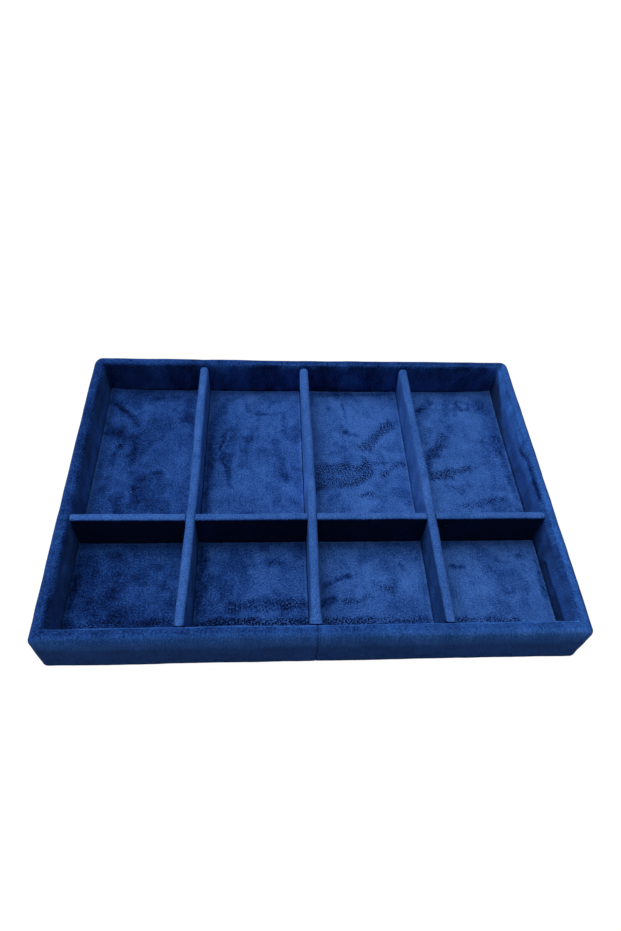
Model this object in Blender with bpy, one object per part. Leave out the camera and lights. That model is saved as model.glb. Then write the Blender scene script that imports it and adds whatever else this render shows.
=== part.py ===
"""Velvet drawer tray for jewellery, with eight compartments.

Four wall boards stand round a base board, and one velvet strip is wrapped over
the walls with its butt seam at the front. A half-lapped grid drops in: one cross
divider with three slots in its top edge, and three long dividers with a slot in
their bottom edge that pass over it. Each divider is a board in a velvet sleeve,
and each compartment has a velvet covered card for its floor.

Units are metres, +Z is up, +X is to the right and -Y is the front. The origin is
the middle of the tray on the surface that it rests on.
"""
import math

import bmesh
import bpy
from mathutils import Vector

# Overall size, over the velvet
tray_width = 0.350
tray_depth = 0.250
tray_height = 0.038

# Clearance between pieces that touch, and how far a cutter runs past its cut
seat_gap = 0.0003
cut_overrun = 0.002

# Walls and base
wall_board_thickness = 0.006
wall_edge_radius = 0.0026
base_board_thickness = 0.003
base_rebate_depth = 0.0025
corner_tongue_thickness = 0.003

# Velvet strip over the walls
velvet_thickness = 0.0015
inside_corner_radius = 0.0012
rim_mitre_radius = 0.0004
hem_width = 0.014
hem_fold_radius = 0.0012
hem_clearance = 0.0005
seam_gap = 0.0004

# Divider grid
compartment_columns = 4
front_row_depth = 0.077
divider_board_thickness = 0.003
divider_edge_radius = 0.0028
divider_top_drop = 0.001
divider_end_play = 0.0006
lap_play = 0.0003

# Floor pads
pad_card_thickness = 0.002
pad_play = 0.0005
pad_edge_radius = 0.0016

# Round stretches, as counts of straight steps
corner_steps = 5
rim_steps = 6
fold_steps = 3
edge_steps = 4

# A fillet stays within this share of the board or sleeve that it rounds
fillet_limit_share = 0.46
# The long dividers' slot and the cross divider's slots meet at this share of the height
lap_height_share = 0.5

# Heights, from the surface that the tray stands on
felt_thickness = hem_clearance + velvet_thickness
board_bottom = felt_thickness + seat_gap
base_top = board_bottom + base_board_thickness
lining_bottom = base_top + seat_gap
wall_board_top = tray_height - velvet_thickness - seat_gap
divider_top = tray_height - divider_top_drop
divider_height = divider_top - lining_bottom
lap_height = lining_bottom + divider_height * lap_height_share

# Offsets inward from the tray's outer face
skin_and_gap = velvet_thickness + seat_gap
wall_thickness = wall_board_thickness + 2 * skin_and_gap
board_inner_offset = skin_and_gap + wall_board_thickness
board_round = min(wall_edge_radius, wall_board_thickness * fillet_limit_share)
rim_round = board_round + skin_and_gap
tray_corner_radius = rim_round

# Inside of the tray
inner_half_width = tray_width / 2 - wall_thickness
inner_half_depth = tray_depth / 2 - wall_thickness

# Dividers and compartments
divider_thickness = divider_board_thickness + 2 * skin_and_gap
divider_round = min(divider_edge_radius, divider_thickness * fillet_limit_share)
long_divider_count = compartment_columns - 1
column_width = (2 * inner_half_width - long_divider_count * divider_thickness) / compartment_columns
column_pitch = column_width + divider_thickness
cross_divider_y = -inner_half_depth + front_row_depth + divider_thickness / 2
back_row_depth = 2 * inner_half_depth - front_row_depth - divider_thickness
long_divider_places = [
    (index - (long_divider_count - 1) / 2) * column_pitch for index in range(long_divider_count)
]
column_places = [
    (index - (compartment_columns - 1) / 2) * column_pitch for index in range(compartment_columns)
]

# Floor pads
pad_card_top = lining_bottom + pad_card_thickness
pad_top = pad_card_top + skin_and_gap

VELVET = (0.030, 0.075, 0.235)
VELVET_LIGHT = (0.045, 0.110, 0.310)
MDF = (0.480, 0.345, 0.215)
CARD = (0.420, 0.400, 0.370)
FELT = (0.012, 0.016, 0.030)


def clear_scene():
    """Remove every object that the file starts with."""
    for thing in list(bpy.data.objects):
        bpy.data.objects.remove(thing, do_unlink=True)


def make_material(name, colour, roughness):
    """A Principled material with one colour and no metal in it."""
    material = bpy.data.materials.new(name)
    material.use_nodes = True
    shader = material.node_tree.nodes["Principled BSDF"]
    shader.inputs["Base Color"].default_value = (*colour, 1.0)
    shader.inputs["Roughness"].default_value = roughness
    shader.inputs["Metallic"].default_value = 0.0
    material.diffuse_color = (*colour, 1.0)
    return material


def link_object(name, mesh):
    """Put a mesh into the scene under a name."""
    thing = bpy.data.objects.new(name, mesh)
    bpy.context.scene.collection.objects.link(thing)
    return thing


def mesh_from(name, shape):
    """Turn a bmesh into a mesh whose faces point out."""
    bmesh.ops.recalc_face_normals(shape, faces=shape.faces)
    mesh = bpy.data.meshes.new(name)
    shape.to_mesh(mesh)
    shape.free()
    return mesh


def make_piece(name, shape, material, smooth_angle=35.0):
    """A visible piece from a bmesh, shaded smooth below the given angle in degrees."""
    mesh = mesh_from(name, shape)
    mesh.shade_smooth()
    mesh.set_sharp_from_angle(angle=math.radians(smooth_angle))
    mesh.materials.append(material)
    return link_object(name, mesh)


def make_cutter(name, shape):
    """A shape that only cuts others, drawn as wire and left out of the render."""
    cutter = link_object(name, mesh_from(name, shape))
    cutter.hide_render = True
    cutter.display_type = 'WIRE'
    return cutter


def make_empty(name, place, parent=None):
    """A frame for a body, placed in the world even under a parent."""
    empty = bpy.data.objects.new(name, None)
    bpy.context.scene.collection.objects.link(empty)
    empty.location = Vector(place)
    if parent is not None:
        empty.location = Vector(place) - world_place(parent)
        empty.parent = parent
    return empty


def world_place(thing):
    """Where an object that is only moved, never turned, lies in the world."""
    place = Vector(thing.location)
    while thing.parent is not None:
        thing = thing.parent
        place += thing.location
    return place


def attach(thing, parent, place=(0, 0, 0)):
    """Hang an object under a parent at a place in the parent's own frame."""
    thing.parent = parent
    thing.location = Vector(place)
    return thing


def boolean(piece, cutter):
    """Cut a cutter's shape out of a piece."""
    modifier = piece.modifiers.new(cutter.name, 'BOOLEAN')
    modifier.object = cutter
    modifier.operation = 'DIFFERENCE'
    modifier.solver = 'EXACT'


def block(low, high):
    """A plain box between two corners."""
    low = Vector(low)
    high = Vector(high)
    shape = bmesh.new()
    bmesh.ops.create_cube(shape, size=1.0)
    for vertex in shape.verts:
        vertex.co = [
            low[axis] if vertex.co[axis] < 0 else high[axis] for axis in range(3)
        ]
    return shape


def blocks(corners):
    """Several plain boxes in one shape."""
    joined = bmesh.new()
    for low, high in corners:
        part = block(low, high)
        mesh = bpy.data.meshes.new("block")
        part.to_mesh(mesh)
        part.free()
        joined.from_mesh(mesh)
        bpy.data.meshes.remove(mesh)
    return joined


def bevel_edges(shape, wanted, radius, steps):
    """Round the edges that the wanted test picks."""
    edges = [edge for edge in shape.edges if wanted(edge)]
    bmesh.ops.bevel(
        shape, geom=edges, offset=radius, segments=steps, profile=0.5,
        affect='EDGES', clamp_overlap=True,
    )


def is_upright(edge):
    """True for an edge that runs straight up."""
    first, second = (vertex.co for vertex in edge.verts)
    return (first.xy - second.xy).length < seat_gap


def is_on_top(height):
    """A test for edges that lie flat at a height."""
    def test(edge):
        return all(abs(vertex.co.z - height) < seat_gap for vertex in edge.verts)
    return test


def rounded_block(low, high, radius):
    """A box with rounded upright corners and a rounded top, and a sharp bottom."""
    shape = block(low, high)
    is_top = is_on_top(high[2])
    bevel_edges(shape, lambda edge: is_upright(edge) or is_top(edge), radius, edge_steps)
    return shape


def arc(centre, radius, start, end, steps):
    """Points of an arc in a profile, with angles in degrees."""
    points = []
    for step in range(steps + 1):
        angle = math.radians(start + (end - start) * step / steps)
        points.append((
            centre[0] + radius * math.cos(angle),
            centre[1] + radius * math.sin(angle),
        ))
    return points


def ring_corner_radius(offset):
    """Plan radius of the tray's corner at an offset inward from its outer face.

    It shrinks to a mitre over the middle of the rim and grows again inside.
    """
    middle = wall_thickness / 2
    if offset < middle:
        return max(tray_corner_radius - offset, rim_mitre_radius)
    inward_share = min((offset - middle) / middle, 1)
    return rim_mitre_radius + (inside_corner_radius - rim_mitre_radius) * inward_share


def ring_loop(offset, height, opening):
    """The tray's outline at an offset, from one side of the front seam to the other."""
    half_x = tray_width / 2 - offset
    half_y = tray_depth / 2 - offset
    radius = ring_corner_radius(offset)
    loop = [Vector((opening / 2, -half_y, height))]
    for side_x, side_y, start in ((1, -1, -90), (1, 1, 0), (-1, 1, 90), (-1, -1, 180)):
        centre = (side_x * (half_x - radius), side_y * (half_y - radius))
        for x, y in arc(centre, radius, start, start + 90, corner_steps):
            loop.append(Vector((x, y, height)))
    loop.append(Vector((-opening / 2, -half_y, height)))
    return loop


def ring_from_profile(profile, opening):
    """Sweep a closed profile of offsets and heights round the tray, open at the seam."""
    shape = bmesh.new()
    loops = [
        [shape.verts.new(point) for point in ring_loop(offset, height, opening)]
        for offset, height in profile
    ]
    for index, loop in enumerate(loops):
        beside = loops[(index + 1) % len(loops)]
        for station in range(len(loop) - 1):
            after = station + 1
            shape.faces.new((loop[station], loop[after], beside[after], beside[station]))
    shape.faces.new([loop[0] for loop in loops])
    shape.faces.new([loop[-1] for loop in reversed(loops)])
    return shape


def prism(outline, low, high):
    """A flat outline carried from one height to another."""
    shape = bmesh.new()
    base = shape.faces.new([shape.verts.new((x, y, low)) for x, y in outline])
    grown = bmesh.ops.extrude_face_region(shape, geom=[base])
    raised = [item for item in grown["geom"] if isinstance(item, bmesh.types.BMVert)]
    bmesh.ops.translate(shape, verts=raised, vec=(0, 0, high - low))
    return shape


def long_wall_shape(side):
    """Front or back board, full width, with a tongue at each end over the side board."""
    edge = tray_width / 2 - skin_and_gap
    shoulder = tray_width / 2 - board_inner_offset - seat_gap
    outer = tray_depth / 2 - skin_and_gap
    tongue = outer - corner_tongue_thickness
    inner = tray_depth / 2 - board_inner_offset
    half = [(edge, outer), (edge, tongue), (shoulder, tongue), (shoulder, inner)]
    outline = half + [(-x, y) for x, y in reversed(half)]
    shape = prism([(x, side * y) for x, y in outline], board_bottom, wall_board_top)
    is_top = is_on_top(wall_board_top)

    def is_rounded(edge_of_board):
        ends = [vertex.co for vertex in edge_of_board.verts]
        at_outer = all(abs(abs(end.y) - outer) < seat_gap for end in ends)
        at_inner = all(abs(abs(end.y) - inner) < seat_gap for end in ends)
        at_tip = all(abs(abs(end.x) - edge) < seat_gap for end in ends)
        on_top = is_top(edge_of_board) and (at_outer or at_inner or at_tip)
        return on_top or (is_upright(edge_of_board) and at_outer and at_tip)

    bevel_edges(shape, is_rounded, board_round, rim_steps)
    return shape


def side_wall_shape(side):
    """Left or right board, which ends against the two tongues."""
    outer = tray_width / 2 - skin_and_gap
    inner = tray_width / 2 - board_inner_offset
    end = tray_depth / 2 - skin_and_gap - corner_tongue_thickness - seat_gap
    near, far = sorted((side * outer, side * inner))
    shape = block((near, -end, board_bottom), (far, end, wall_board_top))
    is_top = is_on_top(wall_board_top)

    def is_rounded(edge):
        first, second = (vertex.co for vertex in edge.verts)
        return is_top(edge) and abs(first.x - second.x) < seat_gap

    bevel_edges(shape, is_rounded, board_round, rim_steps)
    return shape


def make_walls(tray, material):
    """Four boards, lapped at the corners and rebated for the base board."""
    half_x = tray_width / 2 - board_inner_offset + base_rebate_depth
    half_y = tray_depth / 2 - board_inner_offset + base_rebate_depth
    low = (-half_x, -half_y, board_bottom - cut_overrun)
    rebate = make_cutter("base_rebate", block(low, (half_x, half_y, lining_bottom)))
    attach(rebate, tray)
    shapes = {
        "wall_front_board": long_wall_shape(-1),
        "wall_back_board": long_wall_shape(1),
        "wall_left_board": side_wall_shape(-1),
        "wall_right_board": side_wall_shape(1),
    }
    for name, shape in shapes.items():
        board = make_piece(name, shape, material)
        boolean(board, rebate)
        attach(board, tray)


def make_base(tray, material):
    """The base board, housed in the rebate at the walls' foot."""
    half_x = tray_width / 2 - board_inner_offset + base_rebate_depth - seat_gap
    half_y = tray_depth / 2 - board_inner_offset + base_rebate_depth - seat_gap
    shape = block((-half_x, -half_y, board_bottom), (half_x, half_y, base_top))
    attach(make_piece("base_board", shape, material), tray)


def wall_wrap_profile():
    """Section of the velvet strip: hem, outer face, rim and inner face."""
    skin = velvet_thickness
    hem_low = hem_clearance
    fold = hem_fold_radius
    shoulder = tray_height - rim_round
    inner_round = rim_round - skin
    profile = [(hem_width, hem_low)]
    profile += arc((fold, hem_low + fold), fold, 270, 180, fold_steps)
    profile += arc((rim_round, shoulder), rim_round, 180, 90, rim_steps)
    profile += arc((wall_thickness - rim_round, shoulder), rim_round, 90, 0, rim_steps)
    profile += [(wall_thickness, lining_bottom), (wall_thickness - skin, lining_bottom)]
    profile += arc((wall_thickness - rim_round, shoulder), inner_round, 0, 90, rim_steps)
    profile += arc((rim_round, shoulder), inner_round, 90, 180, rim_steps)
    profile += [(skin, hem_low + skin), (hem_width, hem_low + skin)]
    return profile


def make_wall_wrap(tray, material):
    """One strip of velvet round all four walls, with a butt seam at the front."""
    shape = ring_from_profile(wall_wrap_profile(), seam_gap)
    attach(make_piece("wall_wrap", shape, material), tray)


def make_underside(tray, material):
    """The felt that the tray stands on, inside the hem."""
    half_x = tray_width / 2 - hem_width - seat_gap
    half_y = tray_depth / 2 - hem_width - seat_gap
    shape = block((-half_x, -half_y, 0), (half_x, half_y, felt_thickness))
    bevel_edges(shape, is_upright, tray_corner_radius, edge_steps)
    attach(make_piece("underside_felt", shape, material), tray)


def divider_solids(length, along_x):
    """Corners of a divider's sleeve, its cavity and its board, centred on its foot."""
    half_length = length / 2
    half_skin = divider_thickness / 2
    half_cavity = half_skin - velvet_thickness
    half_board = half_cavity - seat_gap
    sizes = {
        "sleeve": (half_length, half_skin, 0, divider_height),
        "cavity": (
            half_length - velvet_thickness, half_cavity,
            -cut_overrun, divider_height - velvet_thickness,
        ),
        "board": (half_length - skin_and_gap, half_board, 0, divider_height - skin_and_gap),
    }
    corners = {}
    for key, (end, side, low, high) in sizes.items():
        x, y = (end, side) if along_x else (side, end)
        corners[key] = ((-x, -y, low), (x, y, high))
    return corners


def make_divider(name, frame, length, along_x, slots, materials):
    """A board and its velvet sleeve, both cut by the same slots."""
    corners = divider_solids(length, along_x)
    velvet, mdf = materials
    low, high = corners["sleeve"]
    sleeve_shape = rounded_block(low, high, divider_round)
    sleeve = make_piece(name.replace("divider", "divider_sleeve"), sleeve_shape, velvet)
    board = make_piece(name.replace("divider", "divider_board"), block(*corners["board"]), mdf)
    cavity = make_cutter(name + "_cavity", block(*corners["cavity"]))
    slot_cutter = make_cutter(name + "_slots", blocks(slots))
    boolean(sleeve, cavity)
    boolean(sleeve, slot_cutter)
    boolean(board, slot_cutter)
    for thing in (sleeve, board, cavity, slot_cutter):
        attach(thing, frame)


def make_cross_divider(frame, materials):
    """The divider from side wall to side wall, slotted from above."""
    length = 2 * (inner_half_width - divider_end_play)
    half_slot = divider_thickness / 2 + lap_play
    floor = lap_height - lining_bottom - seat_gap / 2
    reach = divider_thickness / 2 + cut_overrun
    slots = [
        ((x - half_slot, -reach, floor), (x + half_slot, reach, divider_height + cut_overrun))
        for x in long_divider_places
    ]
    make_divider("cross_divider", frame, length, True, slots, materials)


def make_long_divider(side, frame, materials):
    """A divider from front to back, slotted from below where it crosses."""
    length = 2 * (inner_half_depth - divider_end_play)
    half_slot = divider_thickness / 2 + lap_play
    roof = lap_height - lining_bottom + seat_gap / 2
    reach = divider_thickness / 2 + cut_overrun
    slots = [(
        (-reach, cross_divider_y - half_slot, -cut_overrun),
        (reach, cross_divider_y + half_slot, roof),
    )]
    make_divider("long_divider_" + side, frame, length, False, slots, materials)


def make_floor_pad(name, tray, centre, size, materials):
    """A card and the velvet cover that is pulled over it."""
    velvet, card = materials
    half_x = size[0] / 2 - pad_play
    half_y = size[1] / 2 - pad_play
    low = (-half_x, -half_y, 0)
    high = (half_x, half_y, pad_top - lining_bottom)
    edge_radius = min(pad_edge_radius, high[2] * fillet_limit_share)
    cover_shape = rounded_block(low, high, edge_radius)
    cover = make_piece("floor_pad_cover_" + name, cover_shape, velvet)
    inset = velvet_thickness
    cavity_shape = block(
        (-half_x + inset, -half_y + inset, -cut_overrun),
        (half_x - inset, half_y - inset, pad_card_thickness + seat_gap),
    )
    cavity = make_cutter("floor_pad_" + name + "_cavity", cavity_shape)
    boolean(cover, cavity)
    inset = skin_and_gap
    card_shape = block(
        (-half_x + inset, -half_y + inset, 0),
        (half_x - inset, half_y - inset, pad_card_thickness),
    )
    card_piece = make_piece("floor_pad_card_" + name, card_shape, card)
    place = (centre[0], centre[1], lining_bottom)
    for thing in (cover, cavity, card_piece):
        attach(thing, tray, place)


def make_floor_pads(tray, materials):
    """One pad in each compartment of both rows."""
    rows = {
        "back": (inner_half_depth - back_row_depth / 2, back_row_depth),
        "front": (-inner_half_depth + front_row_depth / 2, front_row_depth),
    }
    for row, (y, depth) in rows.items():
        for index, x in enumerate(column_places):
            name = "{}_{}".format(row, index + 1)
            make_floor_pad(name, tray, (x, y), (column_width, depth), materials)


def main():
    clear_scene()
    velvet = make_material("velvet", VELVET, 0.95)
    floor_velvet = make_material("floor_velvet", VELVET_LIGHT, 0.95)
    mdf = make_material("mdf", MDF, 0.80)
    card = make_material("card", CARD, 0.85)
    felt = make_material("felt", FELT, 1.00)

    tray = make_empty("tray", (0, 0, 0))
    make_base(tray, mdf)
    make_walls(tray, mdf)
    make_wall_wrap(tray, velvet)
    make_underside(tray, felt)
    make_floor_pads(tray, (floor_velvet, card))

    cross_frame = make_empty("cross_divider", (0, cross_divider_y, lining_bottom), tray)
    make_cross_divider(cross_frame, (velvet, mdf))
    for index, x in enumerate(long_divider_places):
        side = ("left", "middle", "right")[index] if long_divider_count == 3 else str(index + 1)
        frame = make_empty("long_divider_" + side, (x, 0, lining_bottom), cross_frame)
        make_long_divider(side, frame, (velvet, mdf))


main()
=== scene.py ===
import math
from types import SimpleNamespace

import bmesh
import bpy
import numpy as np
from mathutils import Matrix, Vector, noise


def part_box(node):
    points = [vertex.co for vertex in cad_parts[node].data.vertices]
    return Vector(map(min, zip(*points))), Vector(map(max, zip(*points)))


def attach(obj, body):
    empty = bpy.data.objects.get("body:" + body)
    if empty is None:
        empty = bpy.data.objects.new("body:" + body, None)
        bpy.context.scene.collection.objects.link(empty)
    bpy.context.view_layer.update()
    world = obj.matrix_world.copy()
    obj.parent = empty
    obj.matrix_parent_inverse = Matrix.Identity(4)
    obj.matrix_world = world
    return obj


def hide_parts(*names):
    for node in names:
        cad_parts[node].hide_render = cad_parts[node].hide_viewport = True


# The looks of a velvet drawer tray for jewellery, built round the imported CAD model.
# Units are metres, +Z is up and -Y is the front. The velvet strip over the walls, the
# sleeves of the dividers, the eight floor pads and the felt underneath are built here, and
# replace their CAD solids. The boards and cards are the CAD's own, with better materials.
#
# Tones are steps on the velvet's ramp of colours: 0 is the plain lie of the pile, 0.1 a
# little lighter and -0.1 a little darker. The first two numbers in rising and fading are
# the places, or the shares of a length or a direction, between which a form or a tone
# comes in or dies away.

MM = 0.001

# Velvet strip over the walls, as in the CAD model
velvet_thickness = 0.0015
wall_thickness = 0.0096
rim_round = 0.0044
inside_corner_radius = 0.0012
rim_mitre_radius = 0.0004
hem_width = 0.014
hem_low = 0.0005
hem_fold = 0.0012
# How far down the strip's softer bend over the front wall reaches, and how much of that
# it loses at the corners
front_fall = 0.0078
corner_loss = 0.6
# How much rounder the outer corners are at the back, and how much tighter at the front
corner_ease = 0.0022
corner_tightness = 0.0006
seam_gap = 0.00006
# How far the seam's two edges turn in against each other
seam_turn = 0.00045
strip_step = 0.0021
corner_steps = 9
rim_steps = 9
hem_steps = 4
# Distances from the seam at which the strip is drawn, and how many times the last one the
# other stations stay away
seam_stations = (0.0, 0.00025, 0.0006, 0.0011, 0.0018, 0.0030)
seam_clearance = 1.3
# Velvet sleeves and pads
sleeve_round = 0.0024
sleeve_end_round = 0.0008
sleeve_end_swell = 0.0003
sleeve_step = 0.0018
sleeve_thickness = 0.0012
# How far the dividers' tops lie below the rim, how far their ends lean out over it, and
# how far their back ends stop short of it
rim_drop = 0.0010
end_lean = 0.0013
back_end_gap = 0.0013
# The sleeves' tones: painted light on top, painted shade at the foot, and painted shade on the
# cross divider's front face
painted_top_light = 0.24
painted_foot_shade = -0.30
painted_cross_front_shade = -0.85
pad_cover_thickness = 0.0014
pad_round = 0.0006
pad_reach = 0.00032
# The soft roll along a pad's edges: its height, and its middle and width from the edge
pad_roll = 0.0004
roll_place = 0.0010
roll_width = 0.0009
# How far the pads curl up in the tray's two back corners, where those are, and over how
# far the curl dies away, the last two in millimetres
curl = 0.0019
curl_corner = (165, 115)
curl_reach = (26, 14)
pad_step = 0.0025
felt_round = 0.0006
felt_step = 0.006
felt_sink = 0.00012
# Grid lines across half of a rounded edge
edge_steps = 3
slot_half_width = 0.00334
# How far the velvet dips at a slot, and waves along the cross divider's front top edge
slot_dip = 0.0002
wavy_edge = 0.00045
# How much rounder the strip lies in the tray's inside corners than its boards do
corner_slack = 0.0032
# How far the strip can lie inwards before its 1.5 mm runs out
strip_give = 0.0010
# Height where the dividers' slots meet
lap_height = 0.0213
# Each long divider's lean in metres, as the shift of its top at the front, the middle and
# the back, its front end's flare and its back end's gap. Then the painted light and shade on its
# sides, front and back.
LONG_DIVIDERS = {
    "left": ((-0.0010, 0.0004, 0.0, 0.0, 0.0), (-0.08, 0.20)),
    "middle": ((-0.0006, 0.0002, -0.0011, 0.0010, 0.0008), (-0.06, 0.52)),
    "right": ((0.0, 0.0003, -0.0013, 0.0, 0.0008), (-0.20, 0.22)),
}

# How uneven the cloth lies: size and height of its lumps, height of the broad ones, and of
# those on the inner walls
lump_sizes = (0.016, 0.0055)
lump_heights = (0.00022, 0.00009)
broad_height = 0.00035
loose_height = 0.0007
# The rim stands higher by this at the back left
rim_lift = 0.0007
clear_of_dividers = 0.012
# Above the floor pads the cloth may stand out, and below their tops it lies flat
calm_below = 0.0098
loose_above = 0.0135

# Degrees to each side of a wall's own direction that count as that wall
wall_sector = 46
# Loose cloth on the inner side walls, in millimetres. A course is its start and end along
# the wall or up it, and how far it fades out there.
hollow_course = (-19, 34, 8)
hollow_width, bulge_drop, bulge_width = 1.4, 7, 5
tuck_start, tuck_length = -53, 12
tuck_low, tuck_climb = 9.9, 9.6
fold_course = (-73, -44, 9)
# Where the painted shadow of the cross divider lies along the right wall
cross_shadow_course = (-60, -34, 6)
# Where the painted shade under the left wall's rim lies, up the wall
dark_band = (24, 34, 4)
# Where the walls meet the floor pads, and how far up the painted shade there reaches, in
# millimetres
pads_top = 9.6
dark_foot, deep_dark_foot = 11.2, 12.4

# Simulation of the pads' covers, which runs on a copy this many times as large
sim_scale = 10.0
sim_frames = 20
sim_pressure = 0.8
sim_growth = 0.012
sim_cap = 0.0009
# A cover is held up to this share of its height
sim_held = 0.45
# Shares of the simulated movement along x, y and z that a cover takes on, as it is glued
# round its card
sim_shares = (0.15, 0.15, 1.0)

# Camera, from a perspective fit of the photograph
photo_width = 621
photo_height = 931
focal_pixels = 648.74
sensor_size = 36.0
camera_place = (-0.02940, -0.28892, 0.41155)
camera_pitch = 51.288
camera_yaw = -5.697
camera_roll = 4.430

# Colours, linear
VELVET_BLACK = (0.0003, 0.0008, 0.0080)
VELVET_DEEP = (0.0016, 0.0080, 0.0500)
VELVET_SHADE = (0.0052, 0.0300, 0.1520)
VELVET_BODY = (0.0170, 0.0670, 0.2780)
VELVET_LIGHT = (0.0580, 0.1700, 0.5400)
# The top stop, reached mostly by painted light such as on the front wall's bend
VELVET_BRIGHT = (0.0950, 0.2700, 0.9000)
# The light tone of the walls' velvet, which is a purer blue
WALL_LIGHT = (0.0370, 0.1560, 0.5700)
SHEEN_TINT = (0.08, 0.30, 1.00)
LINT = (0.17, 0.31, 0.58)
# Boards: dark and light colour, how finely the fibres run along x, y and z, and roughness
MDF = ((0.330, 0.225, 0.130), (0.560, 0.415, 0.265), (0.5, 0.5, 2.2), 0.78)
CARD = ((0.330, 0.310, 0.280), (0.480, 0.460, 0.430), (0.9, 0.5, 3.0), 0.82)
# Painted shade for board faces that show only in narrow gaps
GAP_SHADE = (0.004, 0.010, 0.030)
FELT_DARK = (0.006, 0.008, 0.016)
FELT_LIGHT = (0.022, 0.030, 0.058)
FLOOR = (0.30, 0.30, 0.30)
floor_radius = 4.0
floor_drop = 0.0001
# How much of the floor the camera sees as its own glow, and how bright that is
glow_share = 0.86
glow_strength = 1.15

# Light: the strength of what comes from all round, and the softboxes' places, sides in
# metres and powers in watts
AMBIENT = 0.14
LAMPS = {
    "key": ((-0.45, 0.60, 1.35), 1.1, 17.0),
    "overhead": ((0.0, 0.0, 1.5), 1.2, 5.5),
}

# Marks in the pads' pile, in millimetres: start, end, width, strength. Lifted pile is
# speckled. Brushed pile is darker, or lighter where its strength is negative, and a light
# mark lies over those before it.
LIFTED_MARKS = [
    (-150, 60, -138, 40, 12, 0.3), (-12, 27, -5, 28, 4, 0.6), (70, 74, 48, 50, 8, 0.9),
    (46, 39, 48, 29, 4.5, 0.8), (4, 31, 47, 30, 5, 1.0), (5, 9, 36, 13, 5.5, 1.0),
    (36, 13, 48, 24, 7, 0.9), (5, 20, 12, 20, 9, 0.7), (32, 21, 40, 21, 8, 0.7),
    (8, 26, 40, 27, 9, 0.8), (8, 14, 30, 16, 8, 0.8), (59, 21, 72, 31, 5, 0.8),
    (47, 32, 78, 33, 2.5, 0.5), (42, 2, 51, 5, 3.5, 0.9), (6, 110, 70, 110, 5, 0.5),
    (113, 61, 104, 43, 8, 0.8), (93, 21, 112, 21, 8, 1.0), (110, 23, 129, 26, 6, 0.9),
    (121, -9, 151, -2, 6, 0.5), (108, 10, 122, 6, 3, 0.4), (-163, -103, -93, -101, 5, 0.5),
    (-56, -91, -7, -88, 8, 0.6), (-80, -103, -5, -102, 6.5, 1.0), (22, -88, 37, -85, 4, 0.6),
    (43, -75, 54, -79, 6, 0.5), (6, -102, 48, -102, 6.5, 1.0), (48, -102, 78, -102, 5, 0.6),
    (95, -103, 118, -103, 6, 1.0), (118, -103.5, 137, -103.5, 4, 0.8),
]
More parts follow.
